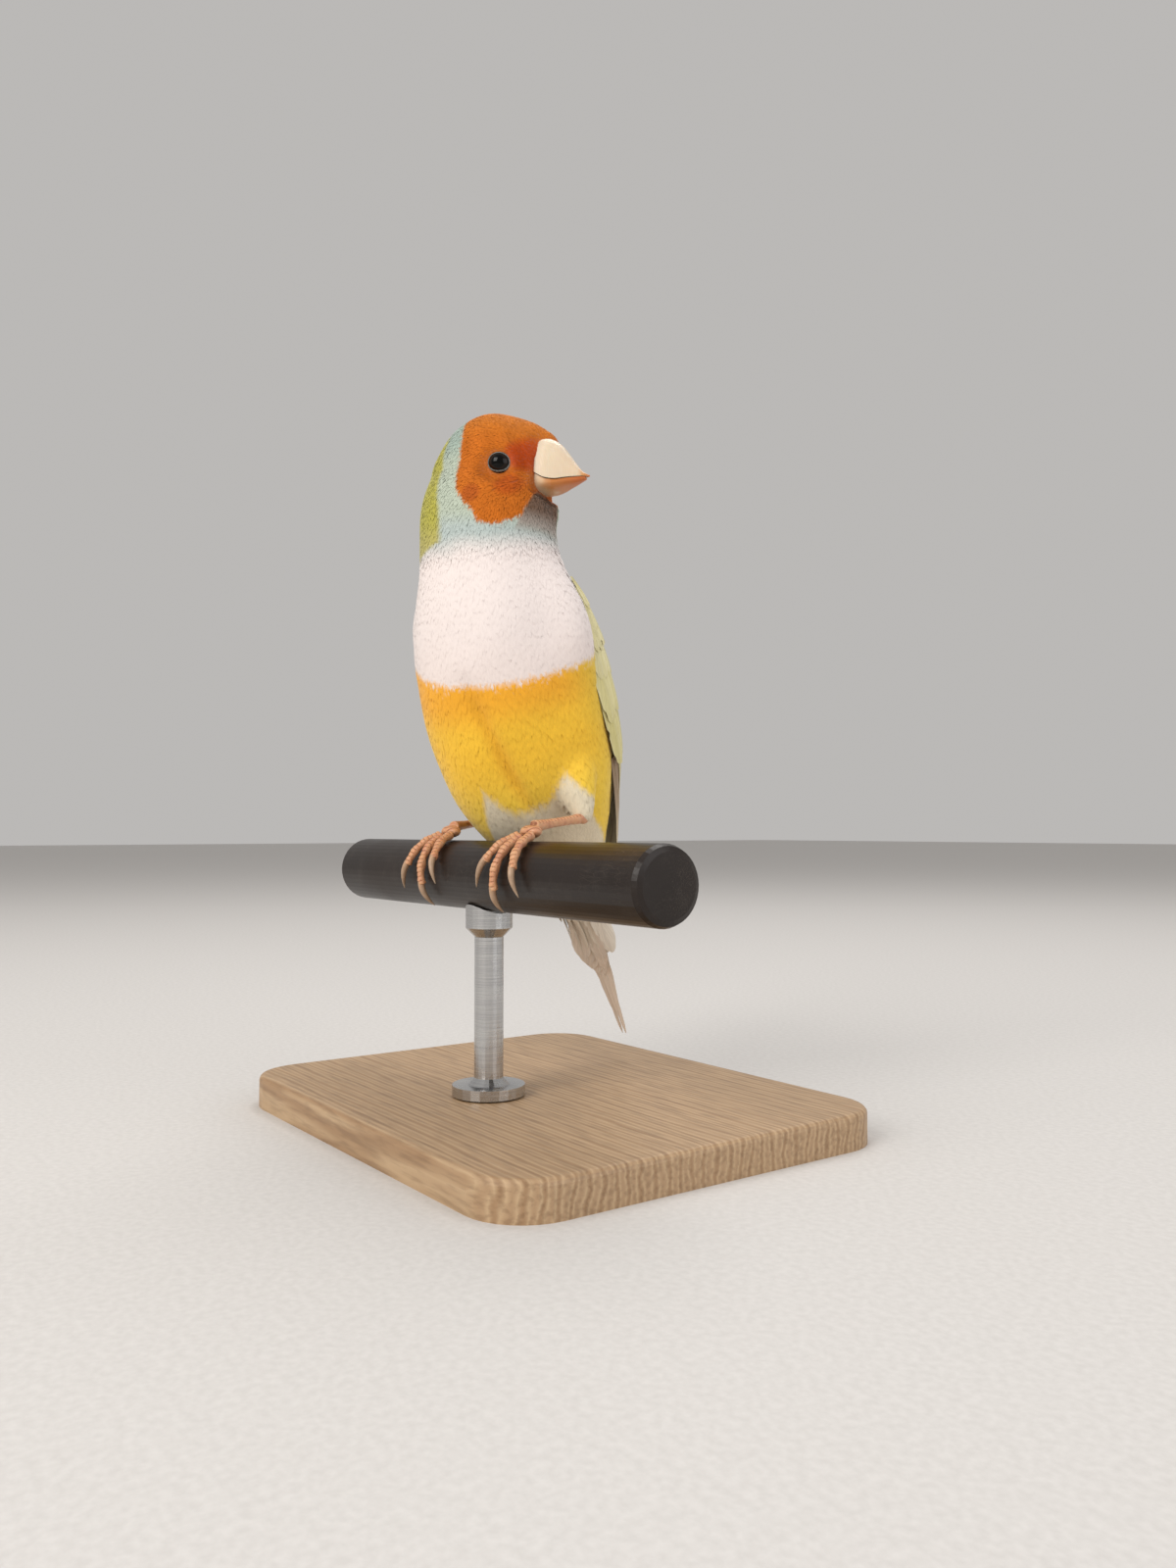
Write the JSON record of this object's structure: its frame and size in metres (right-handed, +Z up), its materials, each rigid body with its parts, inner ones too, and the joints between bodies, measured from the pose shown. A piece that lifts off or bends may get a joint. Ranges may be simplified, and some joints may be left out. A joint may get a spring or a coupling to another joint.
{
  "type": "gouldian finch model",
  "caption": "Life-size still model of a male gouldian finch with an orange mask, white breast and yellow belly, gripping a short round perch on a plain display stand.",
  "frame": {"origin": "middle of the base's flat underside, on the surface that the stand rests on", "axes": "+Z up through the stand; the perch runs along X and the bird faces between -Y and +X"},
  "size_m": [0.1, 0.078, 0.1289],
  "materials": {
    "plumage_orange": "short, dense orange contour feathers of the mask",
    "plumage_pale": "pale blue-grey contour feathers of the collar",
    "plumage_yellow": "white breast over a golden yellow belly, soft contour feathers",
    "plumage_white": "soft whitish feathers of the thigh",
    "wing_feathers": "pale yellow-green coverts over greyer flight feathers",
    "tail_feathers": "pale grey-beige tail feathers",
    "bill_horn": "ivory horn with an orange tip",
    "eye_black": "wet, glossy, nearly black eye",
    "leg_skin": "scaly pink-orange skin",
    "claw_horn": "pale brown horn",
    "perch_plastic": "nearly black smooth plastic with light wear",
    "stand_steel": "satin turned steel",
    "stand_wood": "pale oiled wood"
  },
  "bodies": {
    "root": {"head": "plumage_orange", "neck": "plumage_pale", "torso": "plumage_yellow", "wing_left": "wing_feathers", "wing_right": "wing_feathers", "tail": "tail_feathers", "thigh_left": "plumage_white", "thigh_right": "plumage_white", "eye_left": "eye_black", "eye_right": "eye_black", "bill_upper": "bill_horn", "bill_lower": "bill_horn", "tarsus_left": "leg_skin", "toe_inner_left": "leg_skin", "claw_inner_left": "claw_horn", "toe_middle_left": "leg_skin", "claw_middle_left": "claw_horn", "toe_outer_left": "leg_skin", "claw_outer_left": "claw_horn", "toe_hind_left": "leg_skin", "claw_hind_left": "claw_horn", "tarsus_right": "leg_skin", "toe_inner_right": "leg_skin", "claw_inner_right": "claw_horn", "toe_middle_right": "leg_skin", "claw_middle_right": "claw_horn", "toe_outer_right": "leg_skin", "claw_outer_right": "claw_horn", "toe_hind_right": "leg_skin", "claw_hind_right": "claw_horn", "perch": "perch_plastic", "stand_rod": "stand_steel", "stand_base": "stand_wood"}
  },
  "joints": []
}
